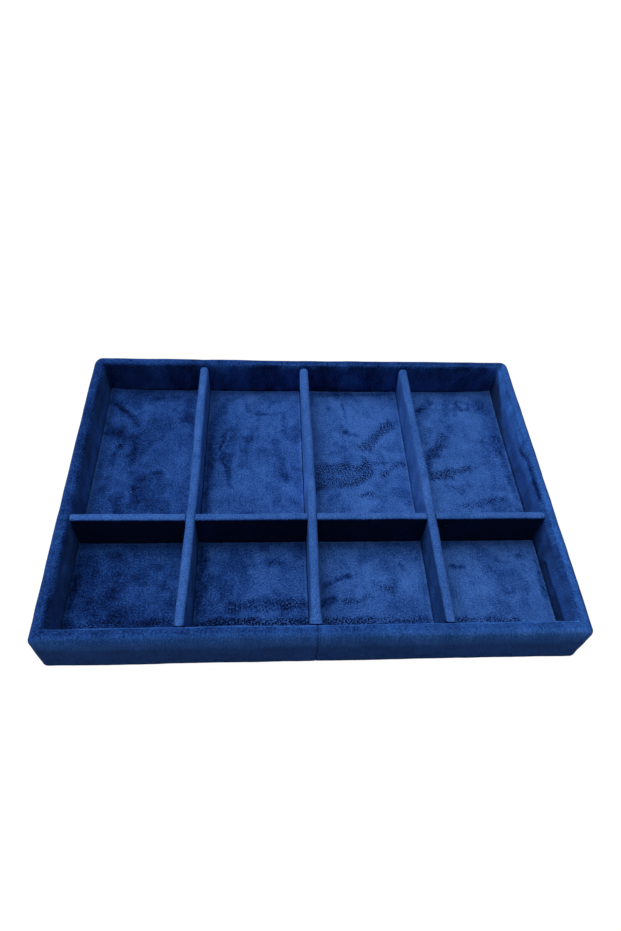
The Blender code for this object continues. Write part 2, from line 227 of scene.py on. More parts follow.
# Some of these, along the feet of the walls and the dividers, are painted shade.
BRUSHED_MARKS = [
    (-157, 97, -137, 75, 5, 0.9), (-156, 68, -153, 67, 12, 0.6), (-139, 60, -139, 32, 7, 0.6),
    (-149, 51, -154, 32, 4.5, 0.7), (-131, 15, -132, -12, 8, 0.7), (-142, 4, -143, -12, 6, 0.4),
    (-120, 24, -116, 24, 4, 0.7), (-127, 101, -108, 106, 7, 0.4), (-112, 50, -104, 20, 18, -0.5),
    (-158, 10, -157, -15, 9, -0.5), (-98, 100, -93, 60, 8, 0.4), (-66, 69, -69, 50, 4, 0.8),
    (-69, 50, -64, 28, 4, 0.8), (-64, 28, -60, 10, 3.5, 0.8), (-61, 39, -62, 21, 4, 0.8),
    (-48, 61, -50, 33, 8, 0.5), (-18, 88, -16, 60, 4, 0.5), (-25, 57, -17, 17, 6, 0.6),
    (-40, 84, -40, 62, 4, 0.4), (-50, 93, -44, 88, 3.5, 0.7), (-44, 87, -28, 86, 3, 0.7),
    (-28, 86, -18, 89, 3, 0.5), (-68, 61, -63, 69, 3.5, 0.8), (-63, 69, -57, 64, 3.5, 0.7),
    (-57, 74, -47, 74, 11, -0.7), (-69, 97, -50, 98, 11, -0.5), (-59, 68, -62, 42, 8, 0.5),
    (-78, 60, -78, -20, 8, 0.6), (-35, 40, -33, 0, 12, -0.4), (-9, 50, -9, -10, 8, -0.5),
    (-28, 100, -30, 106, 5, 0.4), (-12, 100, -60, 60, 8, -0.1), (31, 99, 35, 82, 2.6, 0.8),
    (34, 67, 40, 63, 5, 0.9), (38, 56, 40, 51, 4, 0.4), (14, 20, 26, 20, 6, -0.4),
    (20, 95, 20, 92, 5, 0.4), (15, 75, 20, 50, 14, -0.4), (60, 10, 70, -20, 16, -0.5),
    (50, 95, 60, 80, 14, -0.3), (98, 91, 109, 102, 7, 1.0), (132, 100, 134, 92, 3.5, 0.8),
    (134, 92, 141, 93, 3.5, 0.8), (141, 93, 143, 101, 4, 0.9), (143, 101, 132, 102, 3, 0.7),
    (131, 94, 127, 85, 3.5, 0.5), (151, 97, 162, 88, 15, 0.75), (163, 88, 162, 0, 8, 0.7),
    (158, 78, 161, 48, 15, 0.55), (101, 40, 94, 28, 7, 0.8), (141, 58, 148, 57, 5, 0.4),
    (118, 75, 122, 45, 16, -0.5), (110, 0, 120, -20, 14, -0.4), (148, 40, 152, 10, 10, 0.3),
    (-130, -68, -135, -81, 10, 0.6), (-95, -66, -102, -73, 8, 0.5), (-156, -52, -146, -52, 9, -0.6),
    (-141, -49, -135, -50, 6, 0.5), (-150, -88, -130, -96, 12, 0.5),
    (-115, -78, -100, -90, 12, -0.4), (-163, -60, -162, -90, 7, 0.5), (-30, -56, -23, -57, 6, 0.8),
    (-45, -47, -38, -47, 5, 0.6), (-77, -55, -78, -92, 9, 0.8), (-68, -96, -5, -95.5, 3.5, -0.6),
    (-58, -50, -50, -60, 12, -0.4), (-68, -72, -60, -80, 10, 0.4), (16, -70, 26, -67, 3.2, 1.0),
    (8, -75, 14, -72, 3.5, 0.8), (7, -89, 13, -86, 6, 0.9), (63, -59, 65, -63, 3.5, 0.7),
    (30, -55, 50, -62, 14, -0.5), (55, -88, 68, -92, 12, -0.4), (99, -58.5, 108, -61.5, 2.6, 1.0),
    (109, -69, 114, -70.5, 2.4, 0.7), (150, -53.5, 155, -53.5, 4, 0.5),
    (134, -58, 140, -59, 4, 0.5), (163, -56, 163, -84, 5, 0.8), (135, -82.5, 140, -83, 3, 0.5),
    (115, -75, 130, -80, 18, -0.4),
]

# How far from its line a mark is whole, and where it has faded out, as shares of its width
mark_core = 0.12
mark_spread = 0.85

# How much lighter the floors look from left to right:
# place in millimetres and change of tone
FLOOR_LEFT_TO_RIGHT = [(-126, -0.12), (-42, 0.03), (42, 0.20), (126, 0.17)]
FRONT_LEFT_TO_RIGHT = [(-126, -0.22), (-42, -0.02), (42, 0.16), (126, 0.17)]


def rising(low, high, value):
    """0 below low, 1 above high, and a smooth rise between."""
    share = np.clip((value - low) / (high - low), 0, 1)
    return share * share * (3 - 2 * share)


def fading(low, high, value):
    """1 below low, 0 above high, and a smooth fall between."""
    return 1 - rising(low, high, value)


def swell(value, middle, spread):
    """1 at the middle, dying away to both sides."""
    return np.exp(-((value - middle) / spread) ** 2)


def lumps(points, size, seed):
    """Smooth noise from -1 to 1 at each point, with bumps about size across."""
    shift = Vector((seed * 7.31, seed * 3.17, seed * 5.77))
    flat = np.asarray(points, float).reshape(-1, 3) / size
    values = [noise.noise(Vector(point) + shift) for point in flat]
    return np.array(values).reshape(np.shape(points)[:-1])


def uneven(points, seed):
    """How far velvet over foam stands out from its plain shape."""
    return sum(
        height * lumps(points, size, seed + index)
        for index, (size, height) in enumerate(zip(lump_sizes, lump_heights))
    )


def new_object(name, data):
    """A new object in the scene."""
    thing = bpy.data.objects.new(name, data)
    bpy.context.scene.collection.objects.link(thing)
    return thing


def points_of(thing):
    """A mesh's vertices as an array."""
    return vectors_of(thing.data.vertices, "co")


def normals_of(thing):
    """A mesh's vertex normals as an array."""
    return vectors_of(thing.data.vertex_normals, "vector")


def vectors_of(collection, key):
    """One vector for each entry of a mesh's data."""
    found = np.zeros(len(collection) * 3, np.float32)
    collection.foreach_get(key, found)
    return found.reshape(-1, 3).astype(float)


def set_points(thing, points):
    """Put a mesh's vertices where the array says."""
    thing.data.vertices.foreach_set("co", np.asarray(points, float).ravel())
    thing.data.update()


def keep(thing, cloth=None, **numbers):
    """Keep a place on the cloth or named numbers for each vertex, for the material to read."""
    if cloth is not None:
        attribute = thing.data.attributes.new("cloth", 'FLOAT_VECTOR', 'POINT')
        attribute.data.foreach_set("vector", np.asarray(cloth, np.float32).ravel())
    for name, values in numbers.items():
        attribute = thing.data.attributes.new(name, 'FLOAT', 'POINT')
        attribute.data.foreach_set("value", np.asarray(values, np.float32).ravel())


def piece_from(name, vertices, faces):
    """A smooth shaded object from lists of vertices and faces."""
    mesh = bpy.data.meshes.new(name)
    mesh.from_pydata([tuple(vertex) for vertex in vertices], [], faces)
    mesh.validate()
    mesh.shade_smooth()
    return new_object(name, mesh)


def squares(numbers):
    """The faces of a grid of numbered vertices."""
    near, far = numbers[:-1], numbers[1:]
    corners = [near[:, :-1], far[:, :-1], far[:, 1:], near[:, 1:]]
    return np.stack(corners, axis=-1).reshape(-1, 4)


def apply_modifiers(thing):
    """Bake a piece's modifiers into its mesh."""
    graph = bpy.context.evaluated_depsgraph_get()
    shown = thing.evaluated_get(graph)
    mesh = bpy.data.meshes.new_from_object(shown, preserve_all_data_layers=True, depsgraph=graph)
    thing.modifiers.clear()
    old = thing.data
    thing.data = mesh
    bpy.data.meshes.remove(old)
    thing.data.name = thing.name


def thicken(thing, thickness):
    """Give a skin its thickness, inwards."""
    modifier = thing.modifiers.new("thickness", 'SOLIDIFY')
    modifier.thickness = thickness
    modifier.offset = -1
    modifier.use_even_offset = True
    modifier.use_quality_normals = True
    apply_modifiers(thing)


# Materials


class Nodes:
    """Short calls for building the nodes of a material or of the world."""

    def __init__(self, owner):
        owner.use_nodes = True
        self.owner = owner
        self.tree = owner.node_tree
        self.shader = self.tree.nodes.get("Principled BSDF")

    def plug(self, value, socket):
        """Link a socket, or set a plain value. A colour of three numbers is solid."""
        if isinstance(value, bpy.types.NodeSocket):
            self.tree.links.new(value, socket)
        else:
            is_colour = socket.type == 'RGBA' and len(value) == 3
            socket.default_value = (*value, 1.0) if is_colour else value

    def plug_all(self, node, inputs):
        """Link or set a node's inputs, by name or number."""
        for key, value in inputs.items():
            self.plug(value, node.inputs[key])

    def add(self, kind, inputs=None, output=0, **settings):
        """One output of a new node."""
        made = self.tree.nodes.new(kind)
        for key, value in settings.items():
            setattr(made, key, value)
        self.plug_all(made, inputs or {})
        return made.outputs[output]

    def math(self, operation, first, second=0.0, clamp=False):
        inputs = {0: first, 1: second}
        return self.add('ShaderNodeMath', inputs, operation=operation, use_clamp=clamp)

    def total(self, *terms):
        """The sum of (value, weight, middle) rows, each value counted from its middle."""
        result = None
        for value, weight, middle in terms:
            centred = self.math('SUBTRACT', value, middle)
            part = self.math('MULTIPLY', centred, weight)
            result = part if result is None else self.math('ADD', result, part)
        return result

    def attribute(self, name, output="Fac"):
        return self.add('ShaderNodeAttribute', output=output, attribute_name=name)

    def stretched(self, vector, scale):
        return self.add('ShaderNodeVectorMath', {0: vector, 1: scale}, operation='MULTIPLY')

    def noise(self, vector, scale, detail=2.0, roughness=0.5, distortion=0.0):
        return self.add('ShaderNodeTexNoise', {
            "Vector": vector, "Scale": scale, "Detail": detail, "Roughness": roughness,
            "Distortion": distortion,
        }, "Fac")

    def ranged(self, value, low, high, to_low=0.0, to_high=1.0):
        return self.add('ShaderNodeMapRange', {
            "Value": value, "From Min": low, "From Max": high, "To Min": to_low,
            "To Max": to_high,
        }, "Result", interpolation_type='SMOOTHSTEP')

    def ramp(self, value, stops):
        colour = self.add('ShaderNodeValToRGB', {"Fac": value}, "Color")
        ramp = colour.node.color_ramp
        while len(ramp.elements) < len(stops):
            ramp.elements.new(0.5)
        for element, (place, shown) in zip(ramp.elements, stops):
            element.position = place
            element.color = (*shown, 1.0)
        return colour

    def mix(self, share, first, second):
        inputs = {"Factor": share, 6: first, 7: second}
        return self.add('ShaderNodeMix', inputs, 2, data_type='RGBA')

    def bump(self, height, distance, strength):
        inputs = {"Height": height, "Distance": distance, "Strength": strength}
        self.plug(self.add('ShaderNodeBump', inputs, "Normal"), self.shader.inputs["Normal"])

    def finish(self, colour, roughness, specular, **sheen):
        """Plug in the main values, and set the sheen's Weight, Roughness or Tint."""
        self.plug_all(self.shader, {
            "Base Color": colour, "Roughness": roughness, "Specular IOR Level": specular,
        })
        for name, value in sheen.items():
            self.plug(value, self.shader.inputs["Sheen " + name])
        return self.owner

    def facing(self, axis):
        """How far the surface faces along X, Y or Z."""
        normal = self.add('ShaderNodeNewGeometry', output="Normal")
        return self.add('ShaderNodeSeparateXYZ', {0: normal}, axis)


def make_velvet(name, light=VELVET_LIGHT, rib_weight=0.0, side_specular=0.04):
    """Short-pile velvet: grain, brushed and lifted pile, ribs, lint and sheen.

    The cloth attribute is the place on the flat cloth in millimetres, and shade is the
    painted light and shade, with some uneven tone, that makes it lighter or darker.
    """
    nodes = Nodes(bpy.data.materials.new(name))
    cloth = nodes.attribute("cloth", "Vector")
    grain = nodes.noise(cloth, 0.90, 3.0, 0.72, 0.3)
    fine_grain = nodes.noise(nodes.stretched(cloth, (2.2, 1.5, 1.0)), 1.0, 1.0)
    streaks = nodes.noise(nodes.stretched(cloth, (0.30, 0.060, 1.0)), 1.0, 2.0)
    mottle = nodes.noise(cloth, 0.125, 3.0, 0.65, 0.8)
    clouds = nodes.noise(cloth, 0.034, 2.0, 0.5, 0.3)
    ribs = nodes.noise(nodes.stretched(cloth, (1.05, 0.14, 1.0)), 1.0, 1.0)
    shade = nodes.attribute("shade")
    lifted = nodes.attribute("lifted")
    brushed = nodes.attribute("brushed")

    clumps = nodes.ranged(nodes.noise(cloth, 0.92, 2.0, 0.6, 0.2), 0.42, 0.58)
    speckle = nodes.math('MULTIPLY', lifted, clumps)
    ragged = nodes.ranged(nodes.noise(cloth, 0.38, 3.0, 0.75, 0.4), 0.36, 0.64, 0.5, 1.4)
    strokes = nodes.math('MULTIPLY', brushed, ragged)
    tone = nodes.total(
        (grain, 1.75, 0.5), (fine_grain, 0.70, 0.5), (streaks, 0.20, 0.5),
        (mottle, 0.50, 0.5), (clouds, 0.50, 0.5), (ribs, rib_weight, 0.5), (shade, 1.0, 0.0),
        (strokes, -0.38, 0.0), (lifted, 0.08, 0.0), (speckle, -1.00, 0.0),
    )
    # The ramp's first fifth is for the deepest painted shade, which shows almost black
    tone = nodes.math('ADD', nodes.math('MULTIPLY', tone, 0.60), 0.50, clamp=True)
    colour = nodes.ramp(tone, [
        (0.0, VELVET_BLACK), (0.20, VELVET_DEEP), (0.352, VELVET_SHADE), (0.50, VELVET_BODY),
        (0.80, light), (1.0, VELVET_BRIGHT),
    ])

    cells = nodes.add('ShaderNodeTexVoronoi', {"Vector": cloth, "Scale": 0.045}, "Distance")
    lint = nodes.ranged(cells, 0.022, 0.008)
    colour = nodes.mix(lint, colour, LINT)

    height = nodes.total(
        (grain, 1.0, 0.5), (fine_grain, 0.4, 0.5), (ribs, 2 * rib_weight, 0.5),
        (speckle, -0.8, 0.0), (lint, 1.0, 0.0),
    )
    nodes.bump(height, 0.0006, 0.55)
    # Pile that is looked at from its side shows greyer
    specular = nodes.ranged(nodes.facing("Z"), 0.05, 0.40, side_specular, 0.04)
    roughness = nodes.ranged(grain, 0.3, 0.7, 0.86, 1.0)
    return nodes.finish(
        colour, roughness, specular, Weight=0.25, Roughness=0.42, Tint=SHEEN_TINT,
    )


def object_millimetres(nodes):
    """A piece's own coordinates, in millimetres."""
    place = nodes.add('ShaderNodeTexCoord', output="Object")
    return nodes.stretched(place, (1 / MM, 1 / MM, 1 / MM))


def make_board(name, dark, light, fibre, roughness):
    """Pressed board or card: matted fibres, flecks and a slightly rough cut."""
    nodes = Nodes(bpy.data.materials.new(name))
    place = object_millimetres(nodes)
    mat = nodes.noise(nodes.stretched(place, fibre), 1.0, 3.0, 0.65, 0.8)
    cloud = nodes.noise(place, 0.05, 2.0)
    fleck = nodes.ranged(nodes.noise(place, 1.9, 1.0), 0.66, 0.74)
    tone = nodes.total((mat, 1.3, 0.5), (cloud, 0.5, 0.5), (fleck, -0.5, 0.0))
    tone = nodes.math('ADD', tone, 0.5, clamp=True)
    colour = nodes.ramp(tone, [(0.0, dark), (1.0, light)])
    nodes.bump(mat, 0.0003, 0.5)
    return nodes.finish(colour, nodes.ranged(mat, 0.2, 0.8, roughness, 0.95), 0.25)


def make_gap_shaded(name, axis):
    """Raw board painted dark blue on its top, or on its slots' sides along X, as painted shade
    where it shows in narrow gaps.
    """
    nodes = Nodes(make_board(name, *MDF))
    facing = nodes.facing(axis)
    if axis == "X":
        facing = nodes.math('ABSOLUTE', facing)
    socket = nodes.shader.inputs["Base Color"]
    gap_shaded = nodes.ranged(facing, 0.4, 0.6)
    nodes.plug(nodes.mix(gap_shaded, socket.links[0].from_socket, GAP_SHADE), socket)
    return nodes.owner


def make_felt(name):
    """Pressed felt: short crossing fibres and a little fluff."""
    nodes = Nodes(bpy.data.materials.new(name))
    place = object_millimetres(nodes)
    fibres = nodes.noise(nodes.stretched(place, (0.55, 2.4, 1.0)), 1.0, 3.0, 0.7, 1.5)
    crossing = nodes.noise(nodes.stretched(place, (2.4, 0.55, 1.0)), 1.0, 3.0, 0.7, 1.5)
    cloud = nodes.noise(place, 0.03, 2.0)
    tone = nodes.total((fibres, 0.9, 0.5), (crossing, 0.9, 0.5), (cloud, 0.4, 0.5))
    tone = nodes.math('ADD', tone, 0.5, clamp=True)
    colour = nodes.ramp(tone, [(0.0, FELT_DARK), (1.0, FELT_LIGHT)])
    nodes.bump(tone, 0.0005, 0.6)
    return nodes.finish(colour, 0.97, 0.08, Weight=0.2)


# Velvet strip over the walls


def strip_profile(height, foot):
    """The strip's outer side in section: offset, height and normal, and its run from the hem."""
    shoulder = height - rim_round
    far_round = wall_thickness - rim_round
    points = [(hem_width, hem_low, 0.0, -1.0)]

    def line(start, end, normal):
        count = max(1, math.ceil(math.dist(start, end) / strip_step))
        for index in range(1, count + 1):
            share = index / count
            points.append((*(a + (b - a) * share for a, b in zip(start, end)), *normal))

    def turn(centre, radius, start, end, steps):
        for index in range(1, steps + 1):
            angle = math.radians(start + (end - start) * index / steps)
            normal = (math.cos(angle), math.sin(angle))
            points.append((*(c + radius * n for c, n in zip(centre, normal)), *normal))

    line((hem_width, hem_low), (hem_fold, hem_low), (0.0, -1.0))
    turn((hem_fold, hem_low + hem_fold), hem_fold, 270, 180, hem_steps)
    line((0.0, hem_low + hem_fold), (0.0, shoulder), (-1.0, 0.0))
    turn((rim_round, shoulder), rim_round, 180, 90, rim_steps)
    line((rim_round, height), (far_round, height), (0.0, 1.0))
    turn((far_round, shoulder), rim_round, 90, 0, rim_steps)
    line((wall_thickness, shoulder), (wall_thickness, foot), (1.0, 0.0))
    section = np.array(points)
    steps = np.linalg.norm(np.diff(section[:, :2], axis=0), axis=1)
    return section, np.concatenate([[0], np.cumsum(steps)])


def strip_back(height, foot):
    """The strip's hidden side, from the wall's foot back to the hem."""
    inner = rim_round - velvet_thickness
    shoulder = height - rim_round
    steps = rim_steps // 2
    points = [(wall_thickness - velvet_thickness, foot)]
    for centre, start in ((wall_thickness - rim_round, 0), (rim_round, 90)):
        for index in range(steps + 1):
            angle = math.radians(start + 90 * index / steps)
            points.append((centre + inner * math.cos(angle), shoulder + inner * math.sin(angle)))
    level = hem_low + velvet_thickness
    return np.array(points + [(velvet_thickness, level), (hem_width, level)])


def ring_stations(half_x, half_y):
    """Where the strip is drawn, from one side of the front seam round to the other.

    Each row holds the shares of the half width and half depth, the seam's shift and
    the direction that the wall faces there.
    """
    spots = [(0, -1), (1, -1), (1, 1), (-1, 1), (-1, -1), (0, -1)]
    lengths = [half_x, 2 * half_y, 2 * half_x, 2 * half_y, half_x]
    last = len(lengths) - 1
    rows = []
    for side, (start, end, length) in enumerate(zip(spots, spots[1:], lengths)):
        direction = 90 * (side - 1)
        shares = np.linspace(0, 1, math.ceil(length / strip_step) + 1)
        extra = np.array(seam_stations) / length
        clear = extra[-1] * seam_clearance
        shifts = (0, 0)
        if side == 0:
            shares = np.concatenate([extra, shares[shares > clear]])
            shifts = (seam_gap / 2, 0)
        if side == last:
            shares = np.concatenate([shares[shares < 1 - clear], 1 - extra[::-1]])
            shifts = (0, -seam_gap / 2)
        for share in shares:
            spot = [a + (b - a) * share for a, b in zip(start, end)]
            shift = shifts[0] + (shifts[1] - shifts[0]) * share
            rows.append((*spot, shift, math.radians(direction)))
        if side < last:
            for index in range(1, corner_steps):
                rows.append((*end, 0.0, math.radians(direction + 90 * index / corner_steps)))
    return np.array(rows)


def ring_radius(offset):
    """Plan radius of the tray's corner at an offset inward, as in the CAD model."""
    middle = wall_thickness / 2
    inward = np.minimum((offset - middle) / middle, 1)
    inside = rim_mitre_radius + (inside_corner_radius - rim_mitre_radius) * inward
    return np.where(offset < middle, np.maximum(rim_round - offset, rim_mitre_radius), inside)


def ring_places(stations, offset, height, radius, half_x, half_y):
    """Points of the ring, for each station and each point of the section."""
    share_x, share_y, shift, facing = (stations[:, [column]] for column in range(4))
    x = share_x * (half_x - offset - radius) + shift + radius * np.cos(facing)
    y = share_y * (half_y - offset - radius) + radius * np.sin(facing)
    return np.stack([x, y, height + 0 * x], axis=-1)


def along_wall(along, low, high, soft):
    """1 between two places along a wall, and 0 away from them."""
    return rising(low - soft, low, along) * fading(high, high + soft, along)


def strip_spots(places, section, stations, half_x, half_y):
    """What the strip's relief and tones go by at each of its points.

    x, y, z and inset, its distance in from the outer face, are in millimetres. inward and
    upward say how far it faces into the tray and up. to_right and to_back run from -1 to 1.
    inner, outer and rim are 1 on that side of the strip, and front, back and right true on
    that wall.
    """
    x, y, z = (places[..., axis] / MM for axis in range(3))
    inset, inward, upward = (section[None, :, column] for column in (0, 2, 3))
    facing = np.degrees(stations[:, [3]]) % 360
    inner = rising(0.2, 0.9, inward)
    return SimpleNamespace(
        places=places, x=x, y=y, z=z, inset=inset / MM, inward=inward, upward=upward,
        # Lumps hang down the walls, so they are drawn out along them
        falls=places * (1, 1, 0.55), facing=facing,
        to_right=np.clip(places[..., 0] / half_x, -1, 1),
        to_back=np.clip(places[..., 1] / half_y, -1, 1),
        inner=inner, outer=rising(0.2, 0.9, -inward), rim=rising(0.3, 0.8, upward),
        outer_bend=np.clip(-inward * 1.6, 0, 1),
        front=np.abs(facing - 270) < wall_sector, back=np.abs(facing - 90) < wall_sector,
        right=facing < wall_sector,
        right_face=inner * (facing < 1), left_face=inner * (np.abs(facing - 180) < 1),
    )


def loose_velvet(at):
    """Relief and tone of velvet over foam, which lies loosest on the inner walls."""
    inner_edge = at.rim * rising(0.5, 0.9, at.inset * MM / wall_thickness)
    relief = uneven(at.places, 3)
    relief += at.outer * broad_height * lumps(at.places, 0.07, 11)
    relief += inner_edge * 0.0003 * lumps(at.places, 0.010, 17)
    relief += at.inner * loose_height * np.maximum(lumps(at.falls, 0.026, 23), -0.25)
    blotches = 0.30 * lumps(at.falls, 0.021, 29) + 0.26 * lumps(at.falls, 0.0085, 31)
    shade = -at.inner * blotches - (1 - at.inner) * 0.10 * lumps(at.places, 0.013, 37)
    return relief, shade


def rim_tones(at):
    """The rim's tones: each wall's rim its own, mostly lighter towards the right, with painted
    light and shade on the right wall's rim and over the back wall's bend.
    """
    left = (at.to_right < 0) * rising(-0.4, 0.6, at.to_back)
    tone = 0.11 * at.to_right - 0.05 - 0.10 * left
    front = 0.14 * at.to_right - 0.03 - 0.10 * np.clip(-at.to_right, 0, 1)
    tone = np.where(at.front, front, np.where(at.back, -0.10 - 0.06 * at.to_right, tone))
    # Painted light on the right wall's rim, and painted shade at its inner half and outer edge
    inner_half = rising(5.8, 8.0, at.inset)
    crown = rising(2.4, 3.8, at.inset) * fading(6.0, 7.6, at.inset)
    right = 0.09 - 0.03 * at.to_back - (0.25 + 0.05 * at.to_back) * inner_half
    right += (0.07 - 0.04 * at.to_back) * crown
    right -= (0.14 - 0.20 * np.minimum(at.to_back, 0)) * fading(1.8, 3.4, at.inset)
    tone += np.where(at.right, right, 0)
    # Painted light over the back wall's bend, further round towards the right, and painted shade
    # past it
    end = np.clip(0.525 + 0.41 * at.to_right, 0.2, 0.64)
    past = rising(end, end + 0.17, at.inward)
    bend_light = 0.14 * rising(0.1, 0.4, at.inward) * rising(-0.6, 0.1, at.to_right)
    return at.rim * tone + np.where(at.back, (bend_light - 0.09) * (1 - past) - 0.08 * past, 0)


def wall_tones(at):
    """Painted light and shade on the walls' two faces, and painted shade where they meet the floor
    pads.
    """
    # Painted light on the right wall's inner face, most towards its back, and painted shade on the
    # other walls' inner faces
    right = 0.05 + 0.22 * at.to_back + 0.16 * rising(14, 30, at.z) - 0.06 * (at.to_back > 0)
    lit = rising(22, 30, at.z) - 0.75 * rising(32.5, 35, at.z)
    right += 0.27 * lit * rising(-0.3, 0.3, at.to_back)
    sides = np.where(at.to_right > 0, right, -0.17)
    shade = at.inner * np.where(at.front | at.back, -0.10, sides)
    # Painted light where the strip bends over the walls, most on the front wall, and painted shade
    # at their outer foot
    front = -0.01 + 0.03 * at.to_right + 0.32 * rising(23, 30, at.z)
    front += 0.19 * rising(31, 36, at.z)
    bend = np.where(at.front, front, 0.10 * rising(24, 34, at.z))
    shade += at.outer_bend * (bend - 0.14 * fading(1.5, 5.0, at.z))
    # A painted highlight along the front rim's inner edge, and painted shade on the back wall's
    # inner bend
    edge_highlight = rising(0.50, 0.68, at.inward) * fading(0.80, 0.90, at.inward)
    inner_bend = rising(0.35, 0.85, at.inward) * rising(0.0, 0.5, at.upward)
    shade += np.where(at.front, 0.38 * edge_highlight, 0) - np.where(at.back, 0.10 * inner_bend, 0)
    # Painted shade in the fold between the walls and the floor pads, which is deepest along the
    # right wall
    deep = at.right & (at.y > -50)
    painted_fold_shade = at.inner * fading(pads_top, np.where(deep, deep_dark_foot, dark_foot), at.z)
    shade -= painted_fold_shade * np.where(deep, 0.60, 0.22)
    # Painted shade at the foot of the right wall towards its back corner
    corner_line = 36.5 - 0.50 * (115 - at.y)
    dark = (at.right & (at.y > 50)) * rising(0.05, 0.5, at.inward)
    dark = dark * fading(-3, 3, at.z - corner_line)
    shade -= (0.45 + 0.50 * rising(70, 100, at.y)) * dark
    # Painted shade on the left wall under its rim, and painted light at its foot
    band = 0.12 - 0.30 * along_wall(at.z, *dark_band)
    shade += at.left_face * band * rising(-40, 20, at.y)
    # The painted shadow of the cross divider on the right wall, between its tuck and the cross
    # divider
    cross_shadow = at.right_face * along_wall(at.y, *cross_shadow_course) * fading(30, 35, at.z)
    return shade - cross_shadow * (0.24 + 0.20 * lumps(at.falls, 0.009, 73))


def wall_folds(at):
    """Relief of the loose cloth on the side walls and of the raised rim, and painted shade in the
    cloth's hollow, tuck and fold.
    """
    relief = rim_lift * at.rim * swell(at.facing, 90, 50) * rising(0.1, 0.7, -at.to_right)
    # A hollow under the rim of the right wall and the bulge below it, with painted shade in the
    # hollow and on a spot beside it
    line = 30.5 + 5.5 * rising(-34, -14, -at.y)
    reach = at.right_face * along_wall(at.y, *hollow_course)
    hollow = reach * swell(at.z, line, hollow_width)
    relief = relief + 0.0005 * reach * swell(at.z, line - bulge_drop, bulge_width)
    relief -= 0.0007 * hollow
    shaded_spot = at.right_face * swell(at.y, 25, 4) * swell(at.z, 32.5, 3.5)
    shade = -0.52 * hollow - 0.45 * shaded_spot
    # The tuck at the foot of the right wall beside the front compartment, and the bulge over it,
    # with painted shade under the bulge
    opening = rising(0, tuck_length, tuck_start - at.y)
    lip = tuck_low + tuck_climb * opening + 0.6 * lumps(at.places, 0.012, 67)
    depth = at.right_face * opening
    below = depth * fading(lip - 1.6, lip + 0.4, at.z)
    above = depth * swell(np.maximum(at.z - lip - 1.2, 0), 0, 6)
    relief += 0.0010 * above * rising(lip - 0.4, lip + 1.2, at.z) - 0.0012 * below
    raised = 0.18 * rising(14, 30, at.z) + 0.10 * rising(10, 17, at.z)
    shade -= (0.25 + raised) * below
    # Looser cloth on the left wall beside the front compartment, with painted shade under the rim
    # above it
    fold = at.left_face * along_wall(at.y, *fold_course)
    relief += 0.0009 * fold * swell(at.z, 26, 5)
    return relief, shade - 0.35 * fold * swell(at.z, 33.5, 2.4)


def strip_relief(at, divider_ends):
    """How far each point of the strip stands out, and its painted light and shade."""
    relief, shade = loose_velvet(at)
    folds, fold_shade = wall_folds(at)
    relief += folds
    shade += rim_tones(at) + wall_tones(at) + fold_shade
    # It lies close behind the dividers' ends, and below the tops of the floor pads
    gaps = [np.linalg.norm(at.places[..., :2] - end, axis=-1) for end in divider_ends]
    relief *= rising(clear_of_dividers / 2, clear_of_dividers, np.min(gaps, axis=0))
    calm = np.where(at.inward > 0.5, rising(calm_below, loose_above, at.places[..., 2]), 1)
    relief = np.where(relief > 0, relief * calm, relief)
    # The two edges of the seam turn in against each other
    at_seam = swell(at.x, 0, 0.55) * (at.y < 0)
    relief = relief * (1 - at_seam) - seam_turn * at_seam
    shade -= 0.30 * swell(at.x, 0, 0.8) * (at.y < 0)
    relief = np.where(relief < 0, -strip_give * np.tanh(-relief / strip_give), relief)
    return relief, shade


def soft_bend(section, height, stations):
    """The section's heights at each station, with a longer bend on the front wall's outside."""
    inset, level = section[None, :, 0], section[None, :, 1]
    longer = 1 - corner_loss * rising(0.84, 1.0, np.abs(stations[:, [0]]))
    longer = longer * fading(-1.0, -0.8, stations[:, [1]])
    drawn = 1 + (front_fall / rim_round - 1) * longer
    drop = height - level
    on_face = (height - rim_round * drawn) * level / (height - rim_round)
    bent = np.where(drop < rim_round, height - drop * drawn, on_face)
    lowest = hem_low + 2 * hem_fold
    outside = (inset < rim_round) & (level > lowest)
    return np.where(outside, np.maximum(bent, lowest), level)


